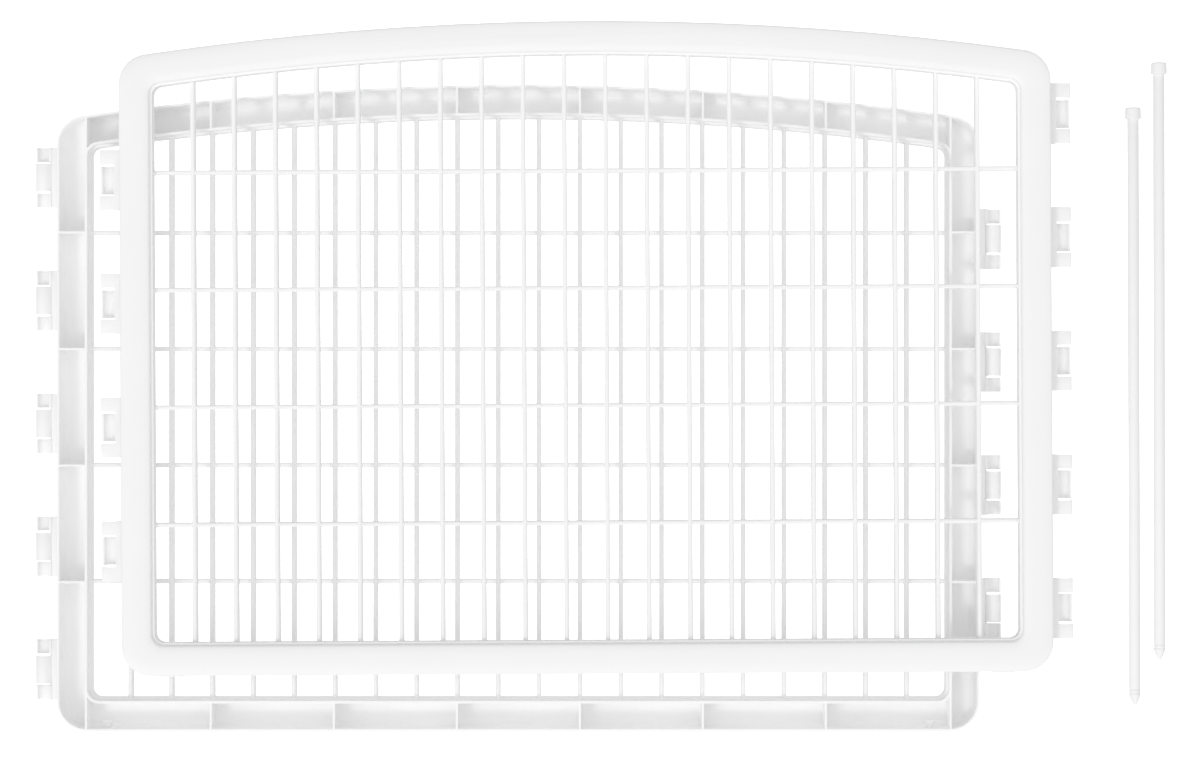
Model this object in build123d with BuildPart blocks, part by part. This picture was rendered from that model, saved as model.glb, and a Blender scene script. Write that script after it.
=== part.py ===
"""Two add-on panels of a folding pet playpen and the two rods that hinge them, laid out flat.

Lengths are millimetres. +X runs across the panels, +Y from their feet to their arched tops, +Z up.
The origin is the middle of the kit's footprint, on the floor. Each panel is drawn in its own frame:
X from its middle, Y up from the underside of its bottom rail, Z from its hollow rim to its face.
"""

from build123d import *
import math
import os

# ---- Panel frame: a hollow channel, open at the rim, with an arched top rail
panel_width = 864.2
panel_height = 605.5
panel_depth = 38.0
arch_radius = 2890.0
corner_radius = 28.0
rail_width = 28.4
outer_wall = 2.25
inner_wall = 2.3
face_thickness = 2.2
window_corner = 11.0
channel_corner = window_corner + inner_wall
crown_drop = 1.8
crown_outer_run = 12.0
crown_inner_run = 9.0
outer_edge_round = 2.6
inner_edge_round = 3.2
roof_outer_round = 7.0
roof_inner_round = 4.0

# ---- Ribs across the channel
rib_thickness = 2.0
rail_rib_pitch = 115.2
rail_rib_count = 6

# ---- Grid, half way between rim and face
bar_count = 20
bar_pitch = 38.4
bar_width = 4.6
bar_depth = 14.0
bar_round = 2.0
cross_bar_count = 4
cross_bar_pitch = 109.2
first_cross_bar = 139.7
cross_bar_width = 4.4
cross_bar_depth = 12.4
cross_bar_round = 1.8
edge_bar_width = 2.2
edge_bar_corner = window_corner - edge_bar_width
lip_height = 32.4

# ---- Hinge loops, five on one side and four on the other
loop_height = 56.2
loop_pitch = 115.4
loop_bore_radius = 5.7
loop_wall = 2.0
loop_corner = 1.6
loop_axis_reach = 13.0
loop_axis_depth = 8.0
loop_flange = 3.0
loop_ridge = 2.1
loop_groove_depth = 2.2
loop_end_height = 13.5
loop_slot = 1.5
many_loops = 5
few_loops = 4
first_of_many = 57.4
first_of_few = first_of_many + loop_pitch / 2

# ---- Push-in feet under the bottom rail
foot_reach = 386.8
foot_length = 22.0
foot_width = 14.0
foot_thickness = 1.5
foot_round = 0.6
foot_stem_radius = 3.0
foot_hole_radius = 3.1
foot_neck_radius = 3.3
foot_head_radius = 4.7
foot_head_height = 6.5

# ---- Hinge rods: a tube with a push-in cap and a push-in point
rod_length = 564.5
tube_radius = 5.5
tube_bore_radius = 4.0
cap_radius = 7.7
cap_top_radius = 7.4
cap_height = 11.0
cap_round = 1.8
cap_rim_round = 0.8
plug_radius = 3.95
plug_length = 12.0
point_collar = 6.2
point_length = 15.2
point_tip_radius = 1.6
point_groove_depth = 0.45
point_groove_width = 0.8

# ---- Layout of the kit on the floor, before the origin is moved to its middle
stack_gap = 0.2
front_x = -11.4
front_y = -270.65
front_turn = math.radians(0.3)
rear_x = front_x - 65.1
rear_y = front_y - 56.45
left_rod_x = 503.3
left_rod_y = 259.3
left_rod_lean = math.radians(0.22)
right_rod_x = 527.7
right_rod_y = 301.8
right_rod_lean = math.radians(0.12)

# ---- Worked out from the sizes above
loop_outer_radius = loop_bore_radius + loop_wall
loop_reach = loop_axis_reach + loop_outer_radius
loop_top = loop_axis_depth + loop_outer_radius
window_inset = rail_width
mid_depth = panel_depth / 2
edge_bar_top = mid_depth + bar_depth / 2
cross_bars_middle = first_cross_bar + cross_bar_pitch * (cross_bar_count - 1) / 2
roof_height = panel_depth - crown_drop - face_thickness
footprint_left = rear_x - panel_width / 2 - loop_reach
footprint_right = right_rod_x + cap_radius
footprint_near = rear_y - foot_thickness
footprint_far = front_y + panel_height
middle_x = (footprint_left + footprint_right) / 2
middle_y = (footprint_near + footprint_far) / 2
point_start = rod_length - point_length
rod_tilt = math.atan2(cap_radius - tube_radius, point_start + point_collar - cap_height)

# The rear panel lies on its face, so its frame is turned over. The front panel lies on it, rim to rim, and
# was put down very slightly askew.
front_plane = Plane(
    origin=(front_x - middle_x, front_y - middle_y, panel_depth + stack_gap),
    x_dir=(math.cos(front_turn), math.sin(front_turn), 0),
    z_dir=(0, 0, 1),
)
rear_plane = Plane(
    origin=(rear_x - middle_x, rear_y - middle_y, panel_depth),
    x_dir=(-1, 0, 0),
    z_dir=(0, 0, -1),
)


def panel_outline(inset, corner):
    """The panel's outline drawn in by an inset: straight sides and bottom, an arched top, round corners."""
    half = panel_width / 2 - inset
    radius = arch_radius - inset
    apex = panel_height - inset
    shoulder = apex - radius + math.sqrt(radius**2 - half**2)
    with BuildSketch() as outline:
        with BuildLine():
            Polyline((-half, shoulder), (-half, inset), (half, inset), (half, shoulder))
            ThreePointArc((half, shoulder), (0, apex), (-half, shoulder))
        make_face()
        fillet(outline.vertices(), corner)
    return outline.sketch


outer_outline = panel_outline(0, corner_radius)
window_outline = panel_outline(window_inset, window_corner)
channel_outline = panel_outline(outer_wall, corner_radius - outer_wall)
core_outline = panel_outline(window_inset - inner_wall, channel_corner)
grid_outline = panel_outline(window_inset + edge_bar_width, edge_bar_corner)


def make_hollow():
    """The space inside the frame's channel, with its roof rounded and the ribs left out of it."""
    rib_line = panel_width / 2 - window_inset + inner_wall / 2
    with BuildPart() as hollow:
        extrude(channel_outline, amount=roof_height)
        extrude(core_outline, amount=roof_height, mode=Mode.SUBTRACT)
        roof = hollow.faces().sort_by(Axis.Z)[-1]
        fillet(roof.outer_wire().edges(), roof_outer_round)
        roof = hollow.faces().sort_by(Axis.Z)[-1]
        fillet(roof.inner_wires()[0].edges(), roof_inner_round)
        with BuildSketch() as ribs:
            with Locations((0, panel_height / 2)):
                with GridLocations(rail_rib_pitch, 0, rail_rib_count, 1):
                    Rectangle(rib_thickness, panel_height)
                with GridLocations(2 * rib_line, 0, 2, 1):
                    Rectangle(rib_thickness, panel_height)
            with Locations((0, cross_bars_middle)):
                with GridLocations(0, cross_bar_pitch, 1, cross_bar_count):
                    Rectangle(panel_width, rib_thickness)
        extrude(amount=roof_height, mode=Mode.SUBTRACT)
    return hollow.part


def make_crown_cut(outline, run, edge_round, into_rail):
    """What the crown takes off the flat face along one edge: a long arc that ends in a small edge round.

    The rail lies to the left of the outline's direction of travel where into_rail is 1, and to the right
    where it is -1.
    """
    path = (Plane.XY.offset(panel_depth) * outline).faces()[0].outer_wire()
    start = path @ 0
    tangent = path % 0
    across = Vector(0, 0, 1).cross(tangent) * into_rail
    arc_radius = (run**2 + crown_drop**2) / (2 * crown_drop)
    halfway_drop = arc_radius - math.sqrt(arc_radius**2 - (run / 2) ** 2)
    margin = 2 * edge_round
    with BuildPart() as cut:
        with BuildSketch(Plane(origin=start, x_dir=across, z_dir=across.cross(Vector(0, 0, 1)))) as section:
            with BuildLine():
                ThreePointArc((0, -crown_drop), (run / 2, -halfway_drop), (run, 0))
                Polyline(
                    (run, 0),
                    (run, margin),
                    (-margin, margin),
                    (-margin, -crown_drop - margin),
                    (0, -crown_drop - margin),
                    (0, -crown_drop),
                )
            make_face()
            corner = section.vertices().sort_by_distance(Vertex(0, -crown_drop, 0))[0]
            fillet(corner, edge_round)
        sweep(path=path)
    return cut.part


def make_frame():
    """The hollow frame: a gently crowned face, outer and inner walls, ribs, and holes for the feet. A lip
    stands on the grid's edge bar and ends a little below the face.
    """
    outer_cut = make_crown_cut(outer_outline, crown_outer_run, outer_edge_round, 1)
    inner_cut = make_crown_cut(window_outline, crown_inner_run, inner_edge_round, -1)
    hollow = make_hollow()
    with BuildPart() as frame:
        extrude(outer_outline, amount=panel_depth)
        extrude(window_outline, amount=panel_depth, mode=Mode.SUBTRACT)
        add(outer_cut, mode=Mode.SUBTRACT)
        add(inner_cut, mode=Mode.SUBTRACT)
        add(hollow, mode=Mode.SUBTRACT)
        with BuildSketch(Plane.XY.offset(edge_bar_top)):
            add(window_outline)
            add(grid_outline, mode=Mode.SUBTRACT)
        extrude(amount=lip_height - edge_bar_top)
        with BuildSketch(Plane.XZ):
            with Locations((0, mid_depth)):
                with GridLocations(2 * foot_reach, 0, 2, 1):
                    Circle(foot_hole_radius)
        extrude(amount=-2 * outer_wall, mode=Mode.SUBTRACT)
    return frame.part


def make_grid():
    """The grid and the edge bar around it. The bars end inside the edge bar."""
    with BuildPart() as grid:
        with BuildSketch(Plane.XZ):
            with Locations((0, mid_depth)):
                with GridLocations(bar_pitch, 0, bar_count, 1):
                    RectangleRounded(bar_width, bar_depth, bar_round)
        extrude(amount=-panel_height)
        with BuildSketch(Plane.YZ.offset(-panel_width / 2)):
            with Locations((cross_bars_middle, mid_depth)):
                with GridLocations(cross_bar_pitch, 0, cross_bar_count, 1):
                    RectangleRounded(cross_bar_width, cross_bar_depth, cross_bar_round)
        extrude(amount=panel_width)
        extrude(window_outline, amount=panel_depth, mode=Mode.INTERSECT)
        with BuildSketch(Plane.XY.offset(mid_depth - bar_depth / 2)):
            add(window_outline)
            add(grid_outline, mode=Mode.SUBTRACT)
        extrude(amount=bar_depth)
    return grid.part


def make_loop():
    """One hinge loop on a frame wall at X 0. A grooved web runs along its whole height. Square shells wrap
    the rod from the face side at its two ends, and a round one wraps it from the rim side between them,
    with a slot either side.
    """
    ridge_reach = loop_axis_reach - loop_bore_radius
    ridge_start = ridge_reach - loop_ridge
    end_middle = (loop_height - loop_end_height) / 2
    middle_height = loop_height - 2 * (loop_end_height + loop_slot)
    axis = (loop_axis_reach, loop_axis_depth)
    lower_left = (Align.MIN, Align.MIN)
    with BuildPart() as loop:
        with BuildSketch(Plane.XZ):
            Rectangle(loop_flange, loop_top, align=lower_left)
            with Locations((0, loop_groove_depth)):
                Rectangle(ridge_start, loop_top - loop_groove_depth, align=lower_left)
            with Locations((ridge_start, loop_axis_depth)):
                Rectangle(loop_ridge, loop_outer_radius, align=lower_left)
        extrude(amount=loop_height / 2, both=True)
        with BuildSketch(Plane.XZ.offset(end_middle), Plane.XZ.offset(-end_middle)):
            with Locations((ridge_start, loop_axis_depth - loop_outer_radius)):
                Rectangle(loop_ridge, loop_outer_radius, align=lower_left)
            with Locations((ridge_start, loop_axis_depth)):
                shell = Rectangle(loop_reach - ridge_start, loop_outer_radius, align=lower_left)
                fillet(shell.vertices().group_by(Axis.X)[-1].sort_by(Axis.Z)[-1], loop_corner)
            with Locations(axis):
                Circle(loop_bore_radius, mode=Mode.SUBTRACT)
        extrude(amount=loop_end_height / 2, both=True)
        with BuildSketch(Plane.XZ):
            with Locations(axis):
                Circle(loop_outer_radius)
                Rectangle(2 * loop_reach, loop_reach, align=(Align.CENTER, Align.MIN), mode=Mode.SUBTRACT)
                Circle(loop_bore_radius, mode=Mode.SUBTRACT)
        extrude(amount=middle_height / 2, both=True)
    return loop.part


def make_loops(loop, side, first, count):
    """A column of loops up one side of a panel, 1 for the side at +X and -1 for the side at -X."""
    one = loop if side > 0 else mirror(loop, about=Plane.YZ)
    with BuildPart() as loops:
        for row in range(count):
            base = Plane(origin=(side * panel_width / 2, first + row * loop_pitch, 0))
            add(base.location * one)
    return loops.part


def make_foot():
    """A soft push-in foot: a pad under the rail, a stem through the wall, and a flared head inside."""
    head_top = outer_wall + foot_head_height
    with BuildPart() as foot:
        with BuildSketch():
            RectangleRounded(foot_length, foot_width, foot_width / 4)
        extrude(amount=-foot_thickness)
        fillet(foot.faces().sort_by(Axis.Z)[0].edges(), foot_round)
        with BuildSketch(Plane.XZ):
            with BuildLine():
                Polyline(
                    (0, -foot_thickness / 2),
                    (foot_stem_radius, -foot_thickness / 2),
                    (foot_stem_radius, outer_wall),
                    (foot_neck_radius, outer_wall),
                    (foot_head_radius, head_top - foot_round),
                    (foot_head_radius - foot_round, head_top),
                    (0, head_top),
                    (0, -foot_thickness / 2),
                )
            make_face()
        revolve(axis=Axis.Z)
    return foot.part


def make_tube():
    """The rod's tube. Z runs down the rod from the top of its cap."""
    with BuildPart() as tube:
        with BuildSketch(Plane.XY.offset(cap_height)):
            Circle(tube_radius)
            Circle(tube_bore_radius, mode=Mode.SUBTRACT)
        extrude(amount=point_start - cap_height)
    return tube.part


def make_cap():
    """The rod's cap: a slightly tapered head with round edges, and a plug that fills the tube's end."""
    with BuildPart() as cap:
        with BuildSketch(Plane.XZ) as profile:
            with BuildLine():
                Polyline(
                    (0, 0),
                    (cap_top_radius, 0),
                    (cap_radius, cap_height),
                    (plug_radius, cap_height),
                    (plug_radius, cap_height + plug_length),
                    (0, cap_height + plug_length),
                    (0, 0),
                )
            make_face()
            shoulder = profile.vertices().sort_by_distance(Vertex(cap_top_radius, 0, 0))[0]
            fillet(shoulder, cap_round)
            rim = profile.vertices().sort_by_distance(Vertex(cap_radius, cap_height, 0))[0]
            fillet(rim, cap_rim_round)
        revolve(axis=Axis.Z)
    return cap.part


def make_point():
    """The rod's point: a collar as wide as the tube with two fine grooves round it, a blunt cone, and a plug."""
    with BuildPart() as point:
        with BuildSketch(Plane.XZ) as profile:
            with BuildLine():
                Polyline(
                    (0, point_start - plug_length),
                    (plug_radius, point_start - plug_length),
                    (plug_radius, point_start),
                    (tube_radius, point_start),
                    (tube_radius, point_start + point_collar),
                    (point_tip_radius, rod_length),
                    (0, rod_length),
                    (0, point_start - plug_length),
                )
            make_face()
            tip = profile.vertices().sort_by_distance(Vertex(point_tip_radius, rod_length, 0))[0]
            fillet(tip, point_tip_radius / 2)
            with Locations((tube_radius, point_start), (tube_radius, point_start + point_collar / 2)):
                groove_align = (Align.CENTER, Align.MIN)
                Rectangle(2 * point_groove_depth, point_groove_width, align=groove_align, mode=Mode.SUBTRACT)
        revolve(axis=Axis.Z)
    return point.part


def rod_plane(x, y, lean):
    """Where a rod lies on the floor, resting on its cap's rim and on the end of its collar.

    The origin is the top of the cap, and Z runs down the rod: towards -Y, leaning towards +X by the angle
    given, and very slightly down.
    """
    height = cap_radius * math.cos(rod_tilt) + cap_height * math.sin(rod_tilt)
    level = math.cos(rod_tilt)
    return Plane(
        origin=(x - middle_x, y - middle_y, height),
        x_dir=(math.cos(lean), math.sin(lean), 0),
        z_dir=(math.sin(lean) * level, -math.cos(lean) * level, -math.sin(rod_tilt)),
    )


def save(name, piece, plane):
    """Puts a piece where its plane says, and writes it under its name."""
    with BuildPart() as placed:
        add(plane.location * piece)
    placed.part.label = name
    export_step(placed.part, f"parts/{name}.step")


os.makedirs("parts", exist_ok=True)

frame = make_frame()
grid = make_grid()
loop = make_loop()
right_loops = make_loops(loop, 1, first_of_many, many_loops)
left_loops = make_loops(loop, -1, first_of_few, few_loops)
foot = make_foot()
for panel, panel_plane in (("front", front_plane), ("rear", rear_plane)):
    save(f"{panel}_frame", frame, panel_plane)
    save(f"{panel}_grid", grid, panel_plane)
    save(f"{panel}_five_loops", right_loops, panel_plane)
    save(f"{panel}_four_loops", left_loops, panel_plane)
    for end, foot_x in (("near_five_loops", foot_reach), ("near_four_loops", -foot_reach)):
        foot_plane = Plane(origin=(foot_x, 0, mid_depth), x_dir=(1, 0, 0), z_dir=(0, 1, 0))
        save(f"{panel}_foot_{end}", foot_plane.location * foot, panel_plane)

tube = make_tube()
cap = make_cap()
point = make_point()
for rod, plane in (
    ("left_rod", rod_plane(left_rod_x, left_rod_y, left_rod_lean)),
    ("right_rod", rod_plane(right_rod_x, right_rod_y, right_rod_lean)),
):
    save(f"{rod}_tube", tube, plane)
    save(f"{rod}_cap", cap, plane)
    save(f"{rod}_point", point, plane)
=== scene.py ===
"""The looks of a pet playpen kit: two moulded panels lying rim to rim, and two hinge rods beside them."""

import math

import bpy
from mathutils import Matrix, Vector


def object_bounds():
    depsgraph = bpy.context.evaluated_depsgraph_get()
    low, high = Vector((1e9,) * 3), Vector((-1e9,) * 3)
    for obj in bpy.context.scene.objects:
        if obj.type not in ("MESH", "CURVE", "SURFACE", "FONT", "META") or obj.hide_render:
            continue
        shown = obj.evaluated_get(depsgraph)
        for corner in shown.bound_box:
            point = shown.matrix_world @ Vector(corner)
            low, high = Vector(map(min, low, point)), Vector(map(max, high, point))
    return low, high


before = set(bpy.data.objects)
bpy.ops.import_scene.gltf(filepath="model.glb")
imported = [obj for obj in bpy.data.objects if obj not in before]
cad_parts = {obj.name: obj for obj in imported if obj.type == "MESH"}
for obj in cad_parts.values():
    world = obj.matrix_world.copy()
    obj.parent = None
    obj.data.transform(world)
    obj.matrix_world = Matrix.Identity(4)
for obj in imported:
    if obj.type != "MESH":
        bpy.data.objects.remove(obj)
cad_low, cad_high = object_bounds()

CAMERA_HEIGHT = 3.5
CAMERA_SHIFT = Vector((-0.00305, -0.0031))
LENS_MM = 110.93
SENSOR_MM = 36.0
VIEW_END = 100.0

# ---- Light: a bright dome, brightest overhead and a little brighter towards the panels' feet, and a soft key
SKY_STRENGTH = 0.525
SKY_OVERHEAD = 0.6
SKY_SLOPE = 0.23
SKY_TOWARDS = Vector((-0.2, -0.98, 0.0))
BELOW_STRENGTH = 0.8
HORIZON_BLEND = 0.05
KEY_STRENGTH = 0.42
KEY_DIRECTION = Vector((-0.4, -0.42, 1.0))
KEY_ANGLE = math.radians(9)
LIGHT_BOUNCES = 12
FLOOR_GREY = 0.9
FLOOR_ROUGHNESS = 0.9
FLOOR_GLOW = 1.0
FLOOR_HALF = 40.0
FLOOR_DROP = 0.0005

WHITE = (1.0, 1.0, 1.0, 1.0)

# ---- Edges
EDGE_ROUND = 0.00035
EDGE_SEGMENTS = 2
SHARP_ANGLE = math.radians(32)
FLAT_ANGLE = math.radians(0.3)
WELD_DISTANCE = 1e-6

# ---- Plastic: faint clouds in its colour and gloss, about 50 mm across, and a fine moulded grain
CLOUDS_PER_METRE = 18.0
CLOUD_DETAIL = 3.0
CLOUD_DARKEST = 0.985
CLOUD_LIGHTEST = 1.01
GLOSS_VARIATION = 0.06
GRAIN_DETAIL = 2.0
MM_PER_METRE = 1000.0


def add_camera():
    data = bpy.data.cameras.new("camera")
    data.lens = LENS_MM
    data.sensor_width = SENSOR_MM
    data.clip_end = VIEW_END
    camera = bpy.data.objects.new("camera", data)
    bpy.context.scene.collection.objects.link(camera)
    middle = (cad_low + cad_high) / 2
    camera.location = (middle.x + CAMERA_SHIFT.x, middle.y + CAMERA_SHIFT.y, CAMERA_HEIGHT)
    bpy.context.scene.camera = camera


def add_sun(name, direction, strength, angle):
    """A sun that shines from a direction. A wider angle gives softer shadows."""
    data = bpy.data.lights.new(name, "SUN")
    data.energy = strength
    data.angle = angle
    light = bpy.data.objects.new(name, data)
    light.rotation_mode = "QUATERNION"
    light.rotation_quaternion = direction.to_track_quat("Z", "Y")
    bpy.context.scene.collection.objects.link(light)


def add_world():
    """A dome whose brightness slopes across the sky, and a dimmer even glow from below the horizon."""
    world = bpy.data.worlds.new("studio")
    world.use_nodes = True
    nodes = world.node_tree.nodes
    links = world.node_tree.links
    background = nodes["Background"]
    background.inputs["Color"].default_value = WHITE
    place = nodes.new("ShaderNodeTexCoord")
    slope = nodes.new("ShaderNodeVectorMath")
    slope.operation = "DOT_PRODUCT"
    slope.inputs[1].default_value = SKY_TOWARDS * SKY_SLOPE
    links.new(place.outputs["Generated"], slope.inputs[0])
    height = nodes.new("ShaderNodeSeparateXYZ")
    links.new(place.outputs["Generated"], height.inputs["Vector"])
    square = nodes.new("ShaderNodeMath")
    square.operation = "MULTIPLY"
    links.new(height.outputs["Z"], square.inputs[0])
    links.new(height.outputs["Z"], square.inputs[1])
    overhead = nodes.new("ShaderNodeMath")
    overhead.operation = "MULTIPLY_ADD"
    overhead.inputs[1].default_value = SKY_OVERHEAD
    overhead.inputs[2].default_value = SKY_STRENGTH
    links.new(square.outputs["Value"], overhead.inputs[0])
    sky = nodes.new("ShaderNodeMath")
    sky.operation = "ADD"
    links.new(slope.outputs["Value"], sky.inputs[0])
    links.new(overhead.outputs["Value"], sky.inputs[1])
    above = nodes.new("ShaderNodeMapRange")
    above.inputs["From Min"].default_value = -HORIZON_BLEND
    above.inputs["From Max"].default_value = HORIZON_BLEND
    links.new(height.outputs["Z"], above.inputs["Value"])
    blend = nodes.new("ShaderNodeMix")
    blend.inputs["A"].default_value = BELOW_STRENGTH
    links.new(above.outputs["Result"], blend.inputs["Factor"])
    links.new(sky.outputs["Value"], blend.inputs["B"])
    links.new(blend.outputs["Result"], background.inputs["Strength"])
    bpy.context.scene.world = world


def add_floor():
    """A plain white floor, bright enough to print white, which doesn't itself light the object."""
    mesh = bpy.data.meshes.new("floor")
    corners = [(-1, -1), (1, -1), (1, 1), (-1, 1)]
    level = cad_low.z - FLOOR_DROP
    mesh.from_pydata([(x * FLOOR_HALF, y * FLOOR_HALF, level) for x, y in corners], [], [(0, 1, 2, 3)])
    floor = bpy.data.objects.new("floor", mesh)
    floor.visible_diffuse = False
    floor.visible_glossy = False
    floor.visible_shadow = False
    bpy.context.scene.collection.objects.link(floor)
    material = bpy.data.materials.new("floor")
    material.use_nodes = True
    surface = material.node_tree.nodes["Principled BSDF"]
    surface.inputs["Base Color"].default_value = (FLOOR_GREY, FLOOR_GREY, FLOOR_GREY, 1.0)
    surface.inputs["Roughness"].default_value = FLOOR_ROUGHNESS
    surface.inputs["Emission Color"].default_value = WHITE
    surface.inputs["Emission Strength"].default_value = FLOOR_GLOW
    mesh.materials.append(material)


def moulded_plastic(name, colour, roughness, grain_mm, grain_depth_mm):
    """A matt to satin plastic: clouded a little in colour and gloss, with a fine grain in relief."""
    material = bpy.data.materials.new(name)
    material.use_nodes = True
    nodes = material.node_tree.nodes
    links = material.node_tree.links
    surface = nodes["Principled BSDF"]
    place = nodes.new("ShaderNodeTexCoord")
    cloud = nodes.new("ShaderNodeTexNoise")
    cloud.inputs["Scale"].default_value = CLOUDS_PER_METRE
    cloud.inputs["Detail"].default_value = CLOUD_DETAIL
    links.new(place.outputs["Object"], cloud.inputs["Vector"])
    tint = nodes.new("ShaderNodeMapRange")
    tint.inputs["To Min"].default_value = CLOUD_DARKEST
    tint.inputs["To Max"].default_value = CLOUD_LIGHTEST
    links.new(cloud.outputs["Fac"], tint.inputs["Value"])
    shade = nodes.new("ShaderNodeMix")
    shade.data_type = "RGBA"
    shade.blend_type = "MULTIPLY"
    shade.inputs["Factor"].default_value = 1.0
    shade.inputs["A"].default_value = (*colour, 1.0)
    links.new(tint.outputs["Result"], shade.inputs["B"])
    links.new(shade.outputs["Result"], surface.inputs["Base Color"])
    gloss = nodes.new("ShaderNodeMapRange")
    gloss.inputs["To Min"].default_value = roughness - GLOSS_VARIATION
    gloss.inputs["To Max"].default_value = roughness + GLOSS_VARIATION
    links.new(cloud.outputs["Fac"], gloss.inputs["Value"])
    links.new(gloss.outputs["Result"], surface.inputs["Roughness"])
    grain = nodes.new("ShaderNodeTexNoise")
    grain.inputs["Scale"].default_value = MM_PER_METRE / grain_mm
    grain.inputs["Detail"].default_value = GRAIN_DETAIL
    links.new(place.outputs["Object"], grain.inputs["Vector"])
    bump = nodes.new("ShaderNodeBump")
    bump.inputs["Strength"].default_value = 1.0
    bump.inputs["Distance"].default_value = grain_depth_mm / MM_PER_METRE
    links.new(grain.outputs["Fac"], bump.inputs["Height"])
    links.new(bump.outputs["Normal"], surface.inputs["Normal"])
    return material


def edge_tool(name):
    """A node group that welds a tessellated node's seams and keeps only its true edges sharp."""
    group = bpy.data.node_groups.new(name, "GeometryNodeTree")
    group.interface.new_socket("Geometry", in_out="INPUT", socket_type="NodeSocketGeometry")
    group.interface.new_socket("Geometry", in_out="OUTPUT", socket_type="NodeSocketGeometry")
    nodes = group.nodes
    links = group.links
    start = nodes.new("NodeGroupInput")
    end = nodes.new("NodeGroupOutput")
    plain = nodes.new("GeometryNodeRemoveAttribute")
    plain.inputs["Name"].default_value = "custom_normal"
    weld = nodes.new("GeometryNodeMergeByDistance")
    weld.inputs["Distance"].default_value = WELD_DISTANCE
    angle = nodes.new("GeometryNodeInputMeshEdgeAngle")
    soft = nodes.new("FunctionNodeCompare")
    soft.operation = "LESS_THAN"
    soft.inputs["B"].default_value = SHARP_ANGLE
    faces = nodes.new("GeometryNodeSetShadeSmooth")
    edges = nodes.new("GeometryNodeSetShadeSmooth")
    edges.domain = "EDGE"
    links.new(start.outputs["Geometry"], plain.inputs["Geometry"])
    links.new(plain.outputs["Geometry"], weld.inputs["Geometry"])
    links.new(weld.outputs["Geometry"], faces.inputs["Geometry"])
    links.new(faces.outputs["Geometry"], edges.inputs["Geometry"])
    links.new(angle.outputs["Unsigned Angle"], soft.inputs["A"])
    links.new(soft.outputs["Result"], edges.inputs["Shade Smooth"])
    links.new(edges.outputs["Geometry"], end.inputs["Geometry"])
    return group


def soften_edges(node, tool):
    """Rounds a node's sharp edges a little, with its flat faces made whole first so that they stay flat."""
    clean = node.modifiers.new("clean", "NODES")
    clean.node_group = tool
    flatten = node.modifiers.new("flatten", "DECIMATE")
    flatten.decimate_type = "DISSOLVE"
    flatten.angle_limit = FLAT_ANGLE
    bevel = node.modifiers.new("edge_round", "BEVEL")
    bevel.width = EDGE_ROUND
    bevel.segments = EDGE_SEGMENTS
    bevel.limit_method = "ANGLE"
    bevel.angle_limit = SHARP_ANGLE
    shade = node.modifiers.new("shade", "NODES")
    shade.node_group = tool


def dress_nodes():
    """Gives every CAD node its plastic and its rounded edges."""
    tool = edge_tool("true_edges")
    panel = moulded_plastic("panel_plastic", (0.96, 0.96, 0.96), 0.5, 0.6, 0.01)
    rod = moulded_plastic("rod_plastic", (0.94, 0.94, 0.94), 0.6, 0.5, 0.02)
    foot = moulded_plastic("foot_rubber", (0.95, 0.95, 0.945), 0.7, 0.5, 0.01)
    for name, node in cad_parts.items():
        material = foot if "foot" in name else rod if "_rod_" in name else panel
        node.data.materials.clear()
        node.data.materials.append(material)
        soften_edges(node, tool)


bpy.context.scene.view_settings.view_transform = "Standard"
bpy.context.scene.cycles.diffuse_bounces = LIGHT_BOUNCES
bpy.context.scene.cycles.max_bounces = LIGHT_BOUNCES
add_camera()
add_world()
add_sun("key", KEY_DIRECTION, KEY_STRENGTH, KEY_ANGLE)
add_floor()
dress_nodes()
